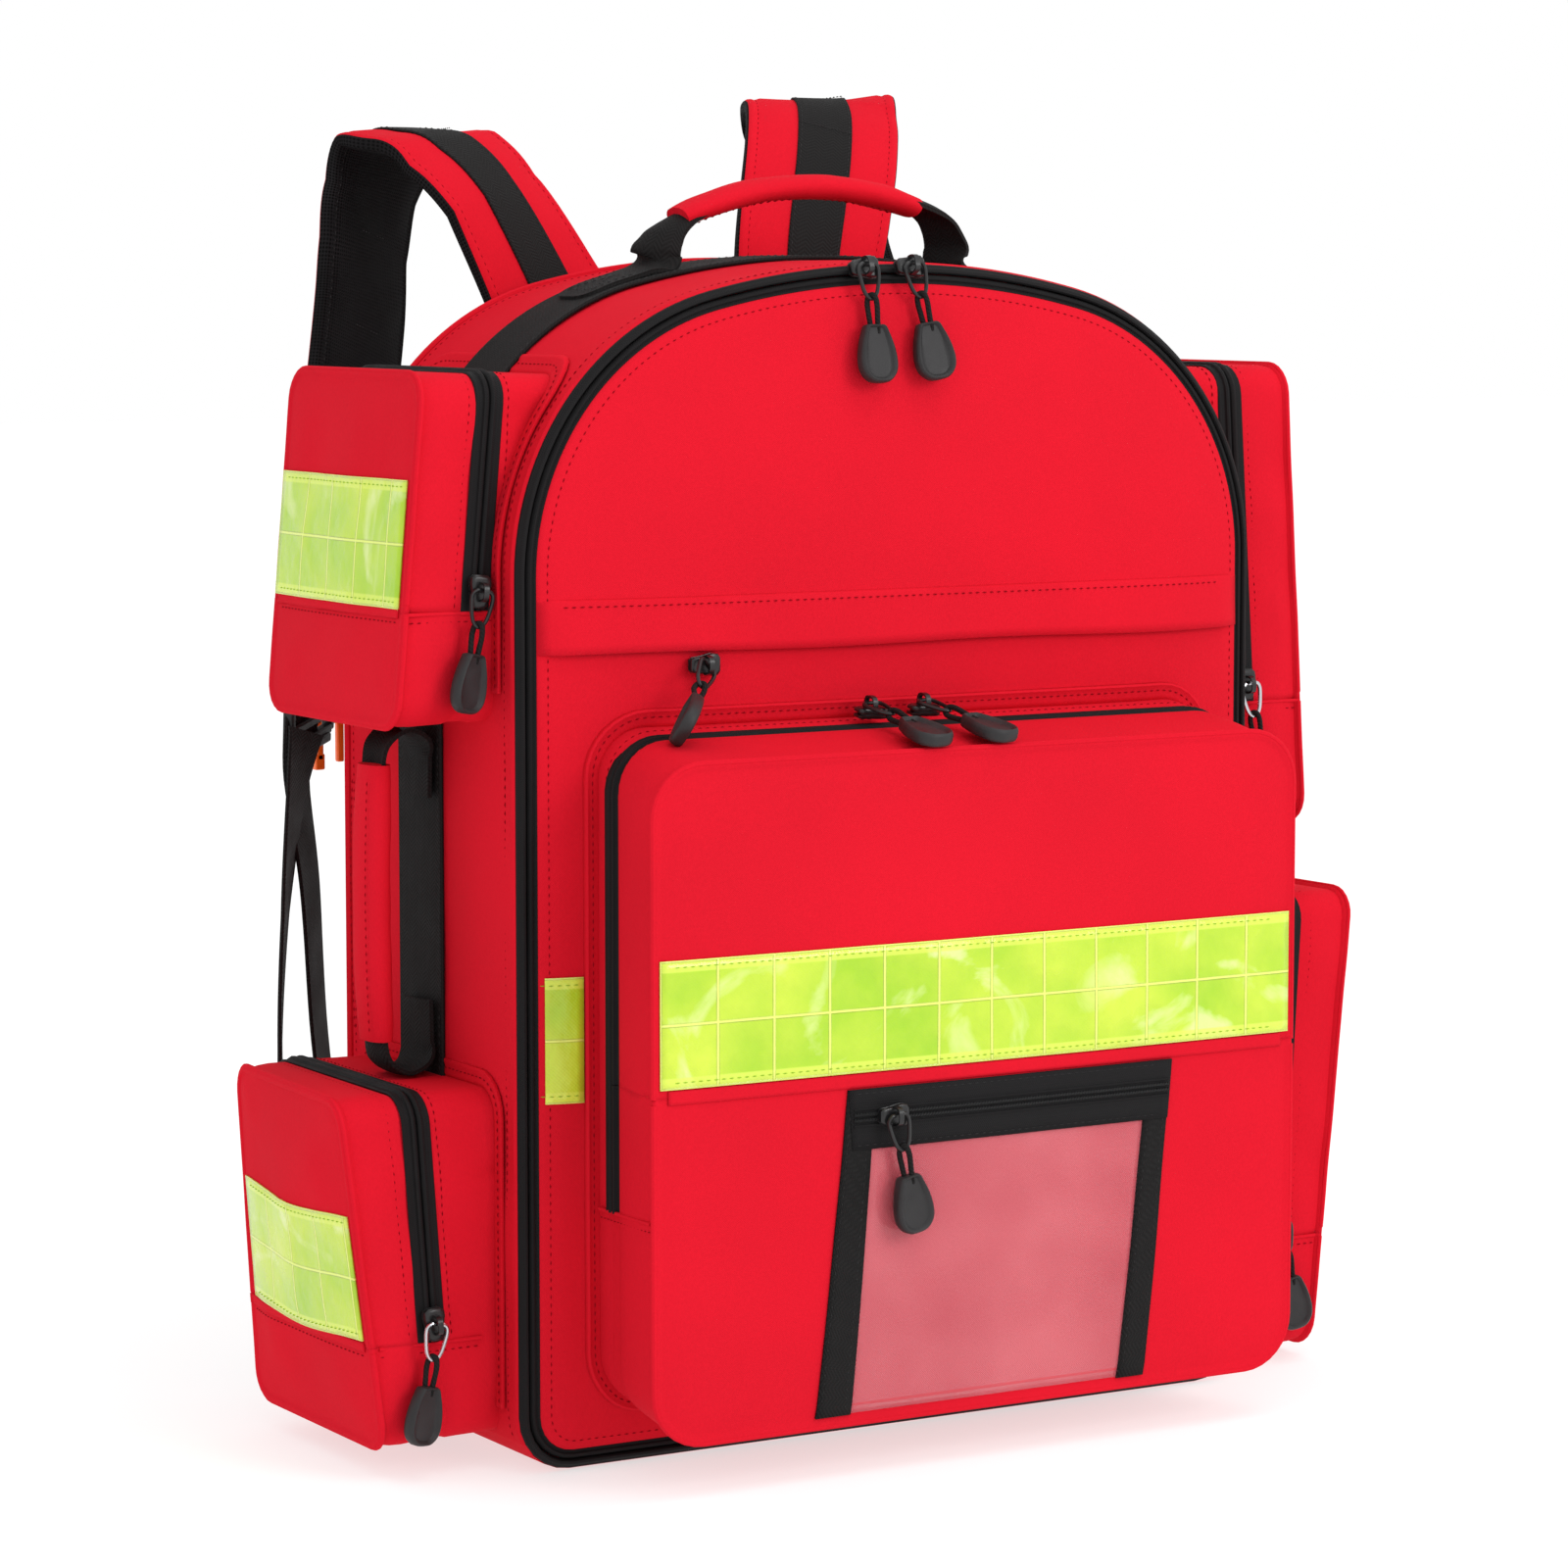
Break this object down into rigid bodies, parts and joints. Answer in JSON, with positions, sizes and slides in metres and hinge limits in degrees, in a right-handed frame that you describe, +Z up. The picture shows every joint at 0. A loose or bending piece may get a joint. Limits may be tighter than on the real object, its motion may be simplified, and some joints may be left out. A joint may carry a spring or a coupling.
{
  "type": "trauma backpack",
  "caption": "Zipped clamshell responder's backpack with arched lid, front pocket with document window, side pockets, carrying handles and padded shoulder straps.",
  "frame": {"origin": "centre of the base of the main compartment, on the floor", "axes": "+Z up along the height, front pocket towards -Y, +X to the right seen from the front"},
  "size_m": [0.4734, 0.3324, 0.5538],
  "materials": {
    "red_fabric": "woven polyester, matt",
    "black_webbing": "woven webbing",
    "zip_tape": "woven zip tape with coil",
    "mesh_padding": "air mesh over foam",
    "divider_fabric": "nylon over foam",
    "board": "extruded sheet",
    "reflective_tape": "high-visibility prismatic tape",
    "clear_film": "flexible clear film",
    "slider_metal": "black enamelled",
    "puller_rubber": "moulded",
    "black_plastic": "moulded",
    "orange_plastic": "moulded"
  },
  "bodies": {
    "shell": {"main_gusset": "red_fabric", "bottom_panel": "red_fabric", "back_panel": "red_fabric", "back_pads": "mesh_padding", "stiffener_boards": "board", "inner_dividers": "divider_fabric", "girth_webbing": "black_webbing", "body_zips": "zip_tape", "left_upper_pocket": "red_fabric", "left_lower_pocket": "red_fabric", "right_upper_pocket": "red_fabric", "right_lower_pocket": "red_fabric", "handle_anchors": "black_webbing", "left_shoulder_strap": "red_fabric", "right_shoulder_strap": "red_fabric", "strap_webbing": "black_webbing", "ladder_locks": "black_plastic", "adjuster_webbing": "black_webbing"},
    "lid": {"lid_panel": "red_fabric", "storm_flap": "red_fabric", "lid_bands": "reflective_tape", "lid_zips": "zip_tape", "lid_mesh_pocket": "mesh_padding", "front_pocket_base": "red_fabric", "window_frame": "black_webbing", "window_film": "clear_film"},
    "front_cover": {"front_pocket_cover": "red_fabric", "front_band": "reflective_tape"},
    "left_upper_cover": {"left_upper_cover": "red_fabric"},
    "left_lower_cover": {"left_lower_cover": "red_fabric"},
    "right_upper_cover": {"right_upper_cover": "red_fabric"},
    "right_lower_cover": {"right_lower_cover": "red_fabric"},
    "main_slider_left": {"main_slider_left": "slider_metal"},
    "main_puller_left": {"main_puller_left": "puller_rubber"},
    "main_slider_right": {"main_slider_right": "slider_metal"},
    "main_puller_right": {"main_puller_right": "puller_rubber"},
    "front_slider_left": {"front_slider_left": "slider_metal"},
    "front_puller_left": {"front_puller_left": "puller_rubber"},
    "front_slider_right": {"front_slider_right": "slider_metal"},
    "front_puller_right": {"front_puller_right": "puller_rubber"},
    "slip_slider": {"slip_slider": "slider_metal"},
    "slip_puller": {"slip_puller": "puller_rubber"},
    "window_slider": {"window_slider": "slider_metal"},
    "window_puller": {"window_puller": "puller_rubber"},
    "left_upper_slider": {"left_upper_slider": "slider_metal"},
    "left_upper_puller": {"left_upper_puller": "puller_rubber"},
    "left_lower_slider": {"left_lower_slider": "slider_metal"},
    "left_lower_puller": {"left_lower_puller": "puller_rubber"},
    "right_upper_slider": {"right_upper_slider": "slider_metal"},
    "right_upper_puller": {"right_upper_puller": "puller_rubber"},
    "right_lower_slider": {"right_lower_slider": "slider_metal"},
    "right_lower_puller": {"right_lower_puller": "puller_rubber"},
    "top_handle": {"top_handle_grip": "red_fabric", "top_handle_webbing": "black_webbing"},
    "side_handle": {"side_handle_grip": "red_fabric", "side_handle_webbing": "black_webbing"},
    "left_chest_strap": {"left_chest_strap": "black_webbing", "left_chest_clip": "orange_plastic"},
    "right_chest_strap": {"right_chest_strap": "black_webbing", "right_chest_clip": "orange_plastic"}
  },
  "joints": [
    {"name": "lid_hinge", "type": "hinge", "parent": "shell", "child": "lid", "pos_m": [0, -0.08, 0.002], "axis": [1, 0, 0], "range_deg": [0, 175]},
    {"name": "front_pocket_fold", "type": "hinge", "parent": "lid", "child": "front_cover", "pos_m": [0, -0.146, 0.15815], "axis": [1, 0, 0], "range_deg": [0, 90]},
    {"name": "left_upper_fold", "type": "hinge", "parent": "shell", "child": "left_upper_cover", "pos_m": [-0.2151, 0, 0.34215], "axis": [0, -1, 0], "range_deg": [0, 90]},
    {"name": "left_lower_fold", "type": "hinge", "parent": "shell", "child": "left_lower_cover", "pos_m": [-0.22996, 0, 0.05415], "axis": [0, -1, 0], "range_deg": [0, 90]},
    {"name": "right_upper_fold", "type": "hinge", "parent": "shell", "child": "right_upper_cover", "pos_m": [0.21579, 0, 0.29015], "axis": [0, 1, 0], "range_deg": [0, 90]},
    {"name": "right_lower_fold", "type": "hinge", "parent": "shell", "child": "right_lower_cover", "pos_m": [0.22868, 0, 0.05415], "axis": [0, 1, 0], "range_deg": [0, 90]},
    {"name": "main_zip_left", "type": "hinge", "parent": "lid", "child": "main_slider_left", "pos_m": [0, -0.0809, 0.1105], "axis": [0, -1, 0], "range_deg": [0, 10]},
    {"name": "main_puller_left_swing", "type": "hinge", "parent": "main_slider_left", "child": "main_puller_left", "pos_m": [-0.01909, -0.08663, 0.47679], "axis": [-1, 0, 0], "range_deg": [0, 150]},
    {"name": "main_zip_right", "type": "hinge", "parent": "lid", "child": "main_slider_right", "pos_m": [0, -0.0809, 0.1105], "axis": [0, 1, 0], "range_deg": [0, 10]},
    {"name": "main_puller_right_swing", "type": "hinge", "parent": "main_slider_right", "child": "main_puller_right", "pos_m": [0.00255, -0.08663, 0.47728], "axis": [-0.9903, 0, -0.1392], "range_deg": [0, 150]},
    {"name": "front_zip_left", "type": "slide", "parent": "front_cover", "child": "front_slider_left", "axis": [-1, 0, 0], "range_m": [0, 0.065]},
    {"name": "front_puller_left_swing", "type": "hinge", "parent": "front_slider_left", "child": "front_puller_left", "pos_m": [-0.028, -0.10398, 0.30232], "axis": [-0.9945, -0.1045, 0], "range_deg": [0, 112]},
    {"name": "front_zip_right", "type": "slide", "parent": "front_cover", "child": "front_slider_right", "axis": [1, 0, 0], "range_m": [0, 0.12]},
    {"name": "front_puller_right_swing", "type": "hinge", "parent": "front_slider_right", "child": "front_puller_right", "pos_m": [-0.003, -0.10398, 0.30232], "axis": [-0.9613, -0.2756, 0], "range_deg": [0, 112]},
    {"name": "slip_zip", "type": "slide", "parent": "lid", "child": "slip_slider", "axis": [1, 0, 0], "range_m": [0, 0.07]},
    {"name": "slip_puller_swing", "type": "hinge", "parent": "slip_slider", "child": "slip_puller", "pos_m": [-0.099, -0.0974, 0.32], "axis": [-0.6428, 0, 0.766], "range_deg": [0, 110]},
    {"name": "window_zip", "type": "slide", "parent": "lid", "child": "window_slider", "axis": [1, 0, 0], "range_m": [0, 0.105]},
    {"name": "window_puller_swing", "type": "hinge", "parent": "window_slider", "child": "window_puller", "pos_m": [-0.046, -0.154, 0.144], "axis": [-0.9816, 0, -0.1908], "range_deg": [0, 85]},
    {"name": "left_upper_zip", "type": "slide", "parent": "shell", "child": "left_upper_slider", "axis": [0.0879, 0, 0.9961], "range_m": [0, 0.068]},
    {"name": "left_upper_puller_swing", "type": "hinge", "parent": "left_upper_slider", "child": "left_upper_puller", "pos_m": [-0.18341, -0.0684, 0.35], "axis": [-0.9848, 0, 0.1736], "range_deg": [0, 150]},
    {"name": "left_lower_zip", "type": "slide", "parent": "shell", "child": "left_lower_slider", "axis": [-0.0718, 0, 0.9974], "range_m": [0, 0.074]},
    {"name": "left_lower_puller_swing", "type": "hinge", "parent": "left_lower_slider", "child": "left_lower_puller", "pos_m": [-0.20553, -0.0684, 0.062], "axis": [-0.9848, 0, 0.1736], "range_deg": [0, 150]},
    {"name": "right_upper_zip", "type": "slide", "parent": "shell", "child": "right_upper_slider", "axis": [-0.0614, 0, 0.9981], "range_m": [0, 0.119]},
    {"name": "right_upper_puller_swing", "type": "hinge", "parent": "right_upper_slider", "child": "right_upper_puller", "pos_m": [0.18431, -0.0684, 0.298], "axis": [-0.9848, 0, -0.1736], "range_deg": [0, 150]},
    {"name": "right_lower_zip", "type": "slide", "parent": "shell", "child": "right_lower_slider", "axis": [0.0555, 0, 0.9985], "range_m": [0, 0.126]},
    {"name": "right_lower_puller_swing", "type": "hinge", "parent": "right_lower_slider", "child": "right_lower_puller", "pos_m": [0.20411, -0.0684, 0.062], "axis": [-0.9848, 0, -0.1736], "range_deg": [0, 150]},
    {"name": "top_handle_tilt", "type": "hinge", "parent": "shell", "child": "top_handle", "pos_m": [0.002, 0, 0.482], "axis": [1, 0, 0], "range_deg": [-50, 50]},
    {"name": "side_handle_tilt", "type": "hinge", "parent": "shell", "child": "side_handle", "pos_m": [-0.181, -0.012, 0.224], "axis": [0, 0, 1], "range_deg": [-35, 35]},
    {"name": "left_chest_swing", "type": "hinge", "parent": "shell", "child": "left_chest_strap", "pos_m": [-0.143, 0.1475, 0.326], "axis": [1, 0, 0], "range_deg": [0, 75]},
    {"name": "right_chest_swing", "type": "hinge", "parent": "shell", "child": "right_chest_strap", "pos_m": [0.143, 0.1475, 0.326], "axis": [1, 0, 0], "range_deg": [0, 75]}
  ]
}
